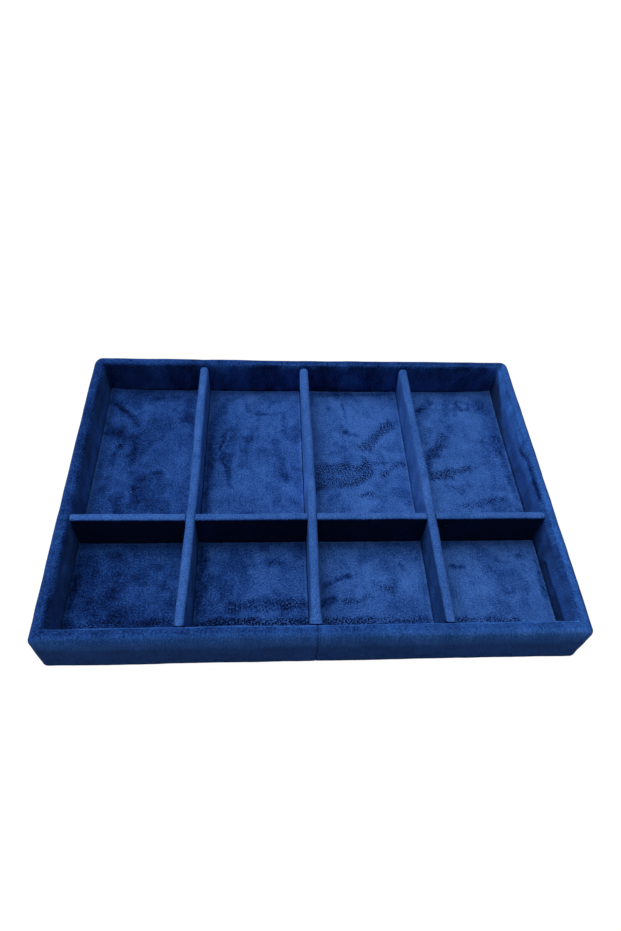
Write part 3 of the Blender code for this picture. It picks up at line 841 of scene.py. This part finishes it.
def make_strip(velvet, divider_ends, foot):
    """The velvet over all four walls, with its hem and its butt seam at the front."""
    _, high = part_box("wall_wrap")
    halves = (high.x, high.y)
    section, across = strip_profile(high.z, foot)
    stations = ring_stations(*halves)
    inset, level, inward, upward = (section[None, :, column] for column in range(4))
    up_wall = level / MM
    slack = rising(11, 17, up_wall) * fading(27, 34, up_wall) * (inward > 0.9)
    ease = corner_ease * fading(0.0005, 0.0065, inset) * rising(-4, 28, up_wall)
    tighter = corner_tightness * fading(0.0003, 0.0030, inset) * rising(4, 24, up_wall)
    at_back = rising(-0.8, 0.2, stations[:, [1]])
    radius = ring_radius(inset) + corner_slack * slack + ease * at_back - tighter * (1 - at_back)
    plain = ring_places(stations, inset, level, radius, *halves)
    spots = strip_spots(plain, section, stations, *halves)
    relief, shade = strip_relief(spots, divider_ends)
    relief = np.where(level < hem_low + hem_fold / 2, 0, relief)
    height = soft_bend(section, high.z, stations) + relief * upward
    shown = ring_places(stations, inset + relief * inward, height, radius, *halves)
    hidden_inset, hidden_level = strip_back(high.z, foot).T[:, None]
    hidden_radius = ring_radius(hidden_inset)
    back = ring_places(stations, hidden_inset, hidden_level, hidden_radius, *halves)

    outer_line = ring_places(stations, 0.0, 0.0, rim_round, *halves)[:, 0]
    steps = np.linalg.norm(np.diff(outer_line, axis=0), axis=1)
    run = np.concatenate([[0], np.cumsum(steps)])
    grid = np.concatenate([shown, back], axis=1)
    count, width = grid.shape[:2]
    cloth = np.zeros((count, width, 3))
    cloth[..., 0] = run[:, None] / MM
    cloth[:, :len(across), 1] = across / MM
    cloth[:, len(across):, 1] = across[-1] / MM
    shades = np.zeros((count, width))
    shades[:, :len(across)] = shade

    numbers = np.arange(count * width).reshape(count, width)
    faces = squares(np.concatenate([numbers, numbers[:, :1]], axis=1)).tolist()
    faces += [numbers[0].tolist(), numbers[-1, ::-1].tolist()]
    piece = piece_from("wall_velvet", grid.reshape(-1, 3), faces)
    keep(piece, cloth, shade=shades)
    piece.data.materials.append(velvet)
    point_outwards(piece)
    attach(piece, "tray")
    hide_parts("wall_wrap")


def point_outwards(thing):
    """Turn every face of a closed mesh outwards."""
    shape = bmesh.new()
    shape.from_mesh(thing.data)
    bmesh.ops.recalc_face_normals(shape, faces=shape.faces)
    shape.to_mesh(thing.data)
    shape.free()
    thing.data.shade_smooth()


# Sleeves and pads


def marks_along(low, high, radius, step, extra=()):
    """Grid lines from low to high, closer where the edges are rounded."""
    tangents = [math.tan(math.radians(45 * index / edge_steps)) for index in range(edge_steps + 1)]
    band = [radius * (1 - tangent) for tangent in reversed(tangents)]
    flat_low, flat_high = low + radius, high - radius
    count = max(1, math.ceil((flat_high - flat_low) / step))
    lines = [low + place for place in band]
    lines += [flat_low + (flat_high - flat_low) * index / count for index in range(1, count)]
    lines += [high - place for place in reversed(band)]
    for line in extra:
        lines = [place for place in lines if abs(place - line) > step / 3] + [line]
    return sorted(lines)


def upward_marks(low, high, radius, step, extra=()):
    """Grid lines up a side that has only its top edge rounded."""
    lines = marks_along(low - radius, high, radius, step, extra)
    return [low] + [place for place in lines if place > low + step / 4]


def rounded_cover(name, low, high, radii, step, cuts=((), (), ()), left_out=None):
    """A skin over a block's top and sides, with rounded edges and an open bottom.

    radii are the rounding's reach along x, y and z. left_out tests the middle of a face
    before it is rounded, and drops it if true.
    """
    lines = [
        marks_along(low[0], high[0], radii[0], step, cuts[0]),
        marks_along(low[1], high[1], radii[1], step, cuts[1]),
        upward_marks(low[2], high[2], radii[2], step, cuts[2]),
    ]
    # The bottom is open, so nothing is rounded there
    flat_low = [low[0] + radii[0], low[1] + radii[1], low[2] - 1.0]
    flat_high = [end - radius for end, radius in zip(high, radii)]
    vertices, cloth, faces, seen = [], [], [], {}

    def vertex(point, facing):
        key = tuple(round(value / (MM / 1000)) for value in point)
        if key not in seen:
            seen[key] = len(vertices)
            core = [min(max(v, a), b) for v, a, b in zip(point, flat_low, flat_high)]
            away = Vector((v - c) / radius for v, c, radius in zip(point, core, radii))
            away.normalize()
            vertices.append([c + a * radius for c, a, radius in zip(core, away, radii)])
            drop = high[2] - point[2]
            unrolled = [(point[axis] + facing[axis] * drop) / MM for axis in range(2)]
            cloth.append((*unrolled, 0.0))
        return seen[key]

    # Each side's two running axes, its fixed axis and level, and the way that it faces
    sides = [
        (0, 1, 2, high[2], (0, 0)), (1, 2, 0, low[0], (-1, 0)), (1, 2, 0, high[0], (1, 0)),
        (0, 2, 1, low[1], (0, -1)), (0, 2, 1, high[1], (0, 1)),
    ]
    for first, second, fixed, level, facing in sides:
        for a0, a1 in zip(lines[first], lines[first][1:]):
            for b0, b1 in zip(lines[second], lines[second][1:]):
                corners = []
                for a, b in ((a0, b0), (a1, b0), (a1, b1), (a0, b1)):
                    point = [0.0, 0.0, 0.0]
                    point[first], point[second], point[fixed] = a, b, level
                    corners.append(point)
                middle = [sum(corner[axis] for corner in corners) / 4 for axis in range(3)]
                if left_out is None or not left_out(middle):
                    faces.append(tuple(vertex(corner, facing) for corner in corners))
    piece = piece_from(name, vertices, faces)
    keep(piece, cloth)
    point_outwards(piece)
    if normals_of(piece)[np.argmax(points_of(piece)[:, 2])][2] < 0:
        piece.data.flip_normals()
    return piece


def puff(piece):
    """Let a pad's cover rise and settle in a cloth simulation, held at its foot."""
    rest = points_of(piece)
    copy = new_object("simulated", piece.data.copy())
    centre = rest.mean(axis=0)
    set_points(copy, (rest - centre) * sim_scale)
    foot = rest[:, 2].min() + (rest[:, 2].max() - rest[:, 2].min()) * sim_held
    held = copy.vertex_groups.new(name="held")
    held.add([int(index) for index in np.nonzero(rest[:, 2] < foot)[0]], 1.0, 'REPLACE')
    cloth = copy.modifiers.new("cloth", 'CLOTH')
    settings = cloth.settings
    settings.quality = 5
    settings.mass = 0.15
    settings.tension_stiffness = 15
    settings.compression_stiffness = 15
    settings.bending_stiffness = 0.4
    settings.vertex_group_mass = "held"
    settings.shrink_min = -sim_growth
    settings.use_pressure = True
    settings.uniform_pressure_force = sim_pressure
    settings.effector_weights.gravity = 0
    cloth.point_cache.frame_start = 1
    cloth.point_cache.frame_end = sim_frames
    for step in range(1, sim_frames + 1):
        bpy.context.scene.frame_set(step)
    shown = copy.evaluated_get(bpy.context.evaluated_depsgraph_get())
    away = (points_of(shown) / sim_scale + centre - rest) * sim_shares
    length = np.linalg.norm(away, axis=1, keepdims=True)
    allowed = sim_cap * np.tanh(length / sim_cap)
    set_points(piece, rest + away * np.where(length > 0, allowed / np.maximum(length, 1e-12), 0))
    mesh = copy.data
    bpy.data.objects.remove(copy)
    bpy.data.meshes.remove(mesh)
    bpy.context.scene.frame_set(1)


def pile_marks(points):
    """How much darker and how lifted the pile of a floor pad is at each point."""
    wander = np.stack([lumps(points, 0.009, 41), lumps(points, 0.009, 43)], axis=1)
    flat = points[:, :2] / MM + 2.4 * wander
    ragged = 1 + 0.5 * lumps(points, 0.0035, 47)
    patchy = np.clip(1.0 + 0.8 * lumps(points, 0.0075, 61), 0.45, 1.2)

    def reach(x0, y0, x1, y1, width, strength):
        start, way = np.array([x0, y0]), np.array([x1 - x0, y1 - y0])
        share = np.clip(((flat - start) @ way) / max(way @ way, 1e-9), 0, 1)
        distance = ragged * np.linalg.norm(flat - start - share[:, None] * way, axis=1)
        faded = fading(mark_core * width, mark_spread * width, distance)
        return strength * patchy * faded

    lifted = np.max([reach(*mark) for mark in LIFTED_MARKS], axis=0)
    brushed = np.zeros(len(points))
    for mark in BRUSHED_MARKS:
        change = reach(*mark)
        brushed = np.maximum(brushed, change) if mark[-1] > 0 else brushed + change
    return brushed, lifted


def make_pad(node, velvet, cross_y):
    """A velvet floor pad: crowned a little, rolled at its edges, with marks in its pile and painted
    light along its rolled edges.
    """
    low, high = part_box(node)
    for axis in range(2):
        low[axis] -= pad_reach
        high[axis] += pad_reach
    piece = rounded_cover(node.replace("_cover", ""), low, high, [pad_round] * 3, pad_step)
    puff(piece)
    finer = piece.modifiers.new("finer", 'SUBSURF')
    finer.levels = finer.render_levels = 1
    apply_modifiers(piece)
    points, normals = points_of(piece), normals_of(piece)
    x, y = points[:, 0], points[:, 1]
    rise = rising(low.z + 0.001, high.z - 0.001, points[:, 2])
    edge = np.min([x - low.x, high.x - x, y - low.y, high.y - y], axis=0)
    inward = rising(0.0005, 0.004, edge)
    relief = rise * inward * (uneven(points, 5) + broad_height * lumps(points, 0.045, 51))
    brushed, lifted = pile_marks(points)
    relief += rise * inward * (0.00010 * lifted - 0.00012 * np.maximum(brushed, 0))
    patches = lumps(points * (1, 0.7, 1), 0.019, 53) + 0.5 * lumps(points, 0.008, 59)
    brushed += 0.45 * rising(0.05, 0.45, patches) - 0.12
    rolled = swell(edge, roll_place, roll_width)
    points = points + normals * relief[:, None] + np.outer(rise * rolled, (0, 0, pad_roll))
    into_corner = (np.abs(points[:, 0]) / MM - curl_corner[0]) / curl_reach[0]
    into_corner += (points[:, 1] / MM - curl_corner[1]) / curl_reach[1]
    points[:, 2] += rise * curl * np.exp(into_corner)
    set_points(piece, points)
    left_to_right = FRONT_LEFT_TO_RIGHT if high.y < cross_y else FLOOR_LEFT_TO_RIGHT
    across_tone = np.interp(points[:, 0] / MM, *zip(*left_to_right))
    # Painted light along the rolled edges
    keep(piece, shade=across_tone + 0.22 * rolled, brushed=brushed, lifted=lifted)
    thicken(piece, pad_cover_thickness)
    piece.data.materials.append(velvet)
    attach(piece, "tray")
    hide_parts(node)


def sleeve_relief(points, along_x, crossings, seed):
    """How far a sleeve stands out: lumps, which die away where the dividers cross."""
    along = points[:, 0 if along_x else 1]
    calm = np.ones(len(points))
    for place in crossings:
        distance = np.abs(along - place)
        calm *= rising(slot_half_width, slot_half_width + 0.004, distance)
    relief = uneven(points, seed) + 0.0003 * lumps(points, 0.028, seed + 7)
    height = points[:, 2]
    relief = np.where(relief > 0, relief * rising(calm_below, loose_above, height), relief)
    wander = broad_height * lumps(np.outer(along, (1, 0, 0)), 0.045, seed + 9)
    return relief * calm, wander * calm * rising(loose_above, 0.034, height)


def fit_to_rims(points, axis, low, high):
    """Lean a divider's ends out over the bend of the walls' rims, which they press against."""
    shoulder = high.z + rim_drop - rim_round
    above = np.clip(points[:, 2] - shoulder, 0, rim_round)
    fallen = rim_round - np.sqrt(rim_round ** 2 - above ** 2)
    lean_out = np.clip(fallen - 0.0002, 0, end_lean)
    for end, way in ((low[axis], -1), (high[axis], 1)):
        near = fading(0, 0.006, np.abs(points[:, axis] - end))
        short = back_end_gap * rising(0, 0.0025, above) if (axis, way) == (1, 1) else 0
        points[:, axis] += way * near * (lean_out - short)


def make_sleeve(node, name, body, velvet, along_x, crossings, shape=None, painted_side_shading=(0, 0)):
    """A velvet sleeve over a divider's board, open at its foot and at its slots.

    The last argument is the painted light and shade on a long divider's sides, at its front and
    back.
    """
    low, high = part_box(node)
    axis = 0 if along_x else 1
    beside = 1 - axis
    middle = (low[beside] + high[beside]) / 2
    cuts = [(), (), (lap_height,)]
    cuts[axis] = [place + way * slot_half_width for place in crossings for way in (-1, 1)]

    def in_slot(point):
        near = any(abs(point[axis] - place) < slot_half_width for place in crossings)
        return near and (point[2] > lap_height) == along_x

    radii = [sleeve_round] * 3
    radii[axis] = sleeve_end_round
    low[axis] -= sleeve_end_swell
    high[axis] += sleeve_end_swell
    piece = rounded_cover(name, low, high, radii, sleeve_step, cuts, in_slot)
    points, normals = points_of(piece), normals_of(piece)
    relief, wander = sleeve_relief(points, along_x, crossings, 60 + len(name))
    if along_x:
        # The velvet dips a little where it is cut, and its front top edge is wavy
        for place in crossings:
            away = np.abs(points[:, 0] - place) - slot_half_width
            relief -= slot_dip * fading(0, 0.002, away) * (normals[:, 2] > 0.5)
        edge = rising(0.2, 0.6, normals[:, 2]) * rising(0.2, 0.6, -normals[:, 1])
        relief += wavy_edge * edge * lumps(points, 0.004, 83)
    points = points + normals * relief[:, None]
    points[:, beside] += wander
    fit_to_rims(points, axis, low, high)
    if shape is not None:
        shape(points, middle, low, high, crossings[0])
    set_points(piece, points)
    on_top = rising(0.15, 0.7, normals[:, 2])
    falls = points * (1, 1, 0.4)
    shade = -0.30 * lumps(falls, 0.024, 71 + len(name))
    shade -= 0.24 * lumps(falls, 0.009, 79 + len(name))
    # Painted shade at the foot of each sleeve
    shade += painted_foot_shade * fading(pads_top * MM, dark_foot * MM, points[:, 2])
    # Painted light and shade on the long dividers' sides
    if not along_x:
        front_shading, back_shading = painted_side_shading
        towards_back = rising(-0.055, 0.010, points[:, 1])
        shade += front_shading + (back_shading - front_shading) * towards_back
    # Painted light on the sleeves' tops
    shade = painted_top_light * on_top + (1 - on_top) * shade
    # Painted shade on the cross divider's front face
    if along_x:
        shade += painted_cross_front_shade * rising(0.5, 0.9, -normals[:, 1])
    keep(piece, shade=shade)
    thicken(piece, sleeve_thickness)
    piece.data.materials.append(velvet)
    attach(piece, body)
    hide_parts(node)


def lean(front_shift, middle_shift, back_shift, front_flare, back_gap):
    """What moves a long divider's velvet, most at its top, to lean it as LONG_DIVIDERS says."""
    def shape(points, middle, low, high, crossing):
        share = (points[:, 1] - low.y) / (high.y - low.y)
        away = np.abs(points[:, 1] - crossing)
        up = rising(low.z + 0.003, high.z, points[:, 2])
        up *= rising(slot_half_width, slot_half_width + 0.012, away)
        shift = front_shift * fading(0.0, 0.42, share) + middle_shift * swell(share, 0.5, 0.2)
        points[:, 0] += up * (shift + back_shift * rising(0.5, 1.0, share))
        points[:, 1] -= up * back_gap * rising(0.95, 1.0, share)
        flare = up * front_flare * fading(0.0, 0.05, share)
        points[:, 0] += np.sign(points[:, 0] - middle) * flare
    return shape


def make_felt_panel(felt):
    """The felt under the base: a thin slab with soft lower edges and a slightly uneven face."""
    low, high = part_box("underside_felt")
    lines = [marks_along(low[axis], high[axis], felt_round, felt_step) for axis in range(2)]
    grid = np.stack(np.meshgrid(*lines, indexing='ij'), axis=-1).reshape(-1, 2)
    edge = np.minimum(grid - (low.x, low.y), (high.x, high.y) - grid).min(axis=1)
    inset = np.clip(felt_round - edge, 0, felt_round)
    roll = felt_round - np.sqrt(felt_round ** 2 - inset ** 2)
    flat = np.column_stack([grid, np.full(len(grid), high.z)])
    sink = felt_sink * (1 + lumps(flat, 0.030, 91)) * rising(0, 0.004, edge)
    lower = flat.copy()
    lower[:, 2] = low.z + roll + sink
    count = len(grid)
    numbers = np.arange(count).reshape(len(lines[0]), len(lines[1]))
    upper = squares(numbers)
    faces = np.stack([upper, upper[:, ::-1] + count], axis=1).reshape(-1, 4).tolist()
    rim = [*numbers[:, 0], *numbers[-1, 1:], *numbers[-2::-1, -1], *numbers[0, -2:0:-1]]
    faces += [(a, b, count + b, count + a) for a, b in zip(rim, rim[1:] + rim[:1])]
    piece = piece_from("felt_panel", np.concatenate([flat, lower]), faces)
    point_outwards(piece)
    piece.data.materials.append(felt)
    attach(piece, "tray")
    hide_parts("underside_felt")


# Stage


def make_floor():
    """A white floor that shows as white and keeps a soft shadow."""
    shape = bmesh.new()
    bmesh.ops.create_circle(shape, cap_ends=True, cap_tris=False, segments=96, radius=floor_radius)
    mesh = bpy.data.meshes.new("floor")
    shape.to_mesh(mesh)
    shape.free()
    floor = new_object("floor", mesh)
    floor.location.z = -floor_drop
    nodes = Nodes(bpy.data.materials.new("floor"))
    mesh.materials.append(nodes.finish(FLOOR, 1.0, 0.0))
    glow = nodes.add('ShaderNodeEmission', {"Strength": glow_strength})
    share = nodes.math('MULTIPLY', seen_directly(nodes), glow_share)
    blend = nodes.add('ShaderNodeMixShader', {0: share, 1: nodes.shader.outputs[0], 2: glow})
    nodes.plug(blend, nodes.tree.nodes["Material Output"].inputs["Surface"])


def seen_directly(nodes):
    """1 for what the camera, a reflection or a clear material looks at."""
    path = nodes.add('ShaderNodeLightPath').node.outputs
    seen = nodes.math('MAXIMUM', path["Is Camera Ray"], path["Is Glossy Ray"])
    return nodes.math('MAXIMUM', seen, path["Is Transmission Ray"])


def make_world(ambient):
    """Even light from all round, which shows as white."""
    world = bpy.data.worlds.new("studio")
    bpy.context.scene.world = world
    nodes = Nodes(world)
    strength = nodes.ranged(seen_directly(nodes), 0.0, 1.0, ambient, 1.0)
    background = nodes.tree.nodes["Background"]
    nodes.plug_all(background, {"Color": (1.0, 1.0, 1.0), "Strength": strength})


def make_lamp(name, place, size, power):
    """A square softbox that points at the tray."""
    light = bpy.data.lights.new(name, 'AREA')
    light.shape = 'SQUARE'
    light.size = size
    light.energy = power
    lamp = new_object(name, light)
    lamp.location = place
    lamp.rotation_mode = 'QUATERNION'
    lamp.rotation_quaternion = (-Vector(place)).to_track_quat('-Z', 'Y')
    lamp.visible_camera = False


def make_camera():
    """The camera of the photograph."""
    pitch, yaw, roll = (math.radians(a) for a in (camera_pitch, camera_yaw, camera_roll))
    turn = Matrix.Rotation(yaw, 3, 'Z')
    forward = turn @ Vector((0, math.cos(pitch), -math.sin(pitch)))
    level_up = turn @ Vector((0, math.sin(pitch), math.cos(pitch)))
    level_right = turn @ Vector((1, 0, 0))
    right = math.cos(roll) * level_right + math.sin(roll) * level_up
    up = math.cos(roll) * level_up - math.sin(roll) * level_right
    data = bpy.data.cameras.new("camera")
    data.sensor_width = sensor_size
    data.lens = focal_pixels / max(photo_width, photo_height) * sensor_size
    data.clip_start, data.clip_end = 0.01, 20.0
    camera = new_object("camera", data)
    axes = Matrix((right, up, -forward)).transposed().to_4x4()
    camera.matrix_world = Matrix.Translation(camera_place) @ axes
    bpy.context.scene.camera = camera


def dress(nodes, names, material):
    """Give CAD nodes a better material."""
    for name in names:
        for material_slot in nodes[name].material_slots:
            material_slot.link = 'OBJECT'
            material_slot.material = material


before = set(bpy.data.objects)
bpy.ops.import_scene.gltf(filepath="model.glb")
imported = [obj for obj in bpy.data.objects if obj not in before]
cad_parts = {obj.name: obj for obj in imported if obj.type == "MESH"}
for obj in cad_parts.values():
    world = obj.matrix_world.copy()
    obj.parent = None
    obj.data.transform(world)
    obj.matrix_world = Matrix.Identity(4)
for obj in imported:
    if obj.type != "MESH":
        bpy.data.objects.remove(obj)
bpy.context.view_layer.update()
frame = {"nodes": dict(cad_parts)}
nodes = frame["nodes"]

bpy.context.scene.view_settings.view_transform = 'Standard'
make_camera()
make_world(AMBIENT)
for name, settings in LAMPS.items():
    make_lamp(name, *settings)
make_floor()

cross_low, cross_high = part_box("cross_divider_sleeve")
cross_y = (cross_low.y + cross_high.y) / 2
long_places = []
for side in LONG_DIVIDERS:
    side_low, side_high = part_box("long_divider_sleeve_" + side)
    long_places.append((side_low.x + side_high.x) / 2)
divider_ends = [(cross_low.x, cross_y), (cross_high.x, cross_y)]
divider_ends += [(place, end) for place in long_places for end in (side_low.y, side_high.y)]

wall_velvet = make_velvet("wall_velvet", WALL_LIGHT, rib_weight=0.45, side_specular=0.13)
divider_velvet = make_velvet("divider_velvet", rib_weight=0.10)
floor_velvet = make_velvet("floor_velvet")
mdf = make_board("mdf", *MDF)
card = make_board("card", *CARD)
felt = make_felt("felt")

make_strip(wall_velvet, divider_ends, cross_low.z)
make_sleeve(
    "cross_divider_sleeve", "cross_divider_velvet", "cross_divider", divider_velvet, True,
    long_places,
)
for side, (leaning, painted_side_shading) in LONG_DIVIDERS.items():
    make_sleeve(
        "long_divider_sleeve_" + side, "long_divider_velvet_" + side, "long_divider_" + side,
        divider_velvet, False, [cross_y], lean(*leaning), painted_side_shading,
    )
for row in ("back", "front"):
    for column in range(1, 5):
        make_pad("floor_pad_cover_{}_{}".format(row, column), floor_velvet, cross_y)

boards = [name for name in nodes if name.startswith("wall_") and name.endswith("board")]
dress(nodes, boards + [name for name in nodes if "long_divider_board" in name], mdf)
dress(nodes, ["base_board"], make_gap_shaded("base_mdf", "Z"))
dress(nodes, ["cross_divider_board"], make_gap_shaded("divider_mdf", "X"))
dress(nodes, [name for name in nodes if "pad_card" in name], card)
make_felt_panel(felt)
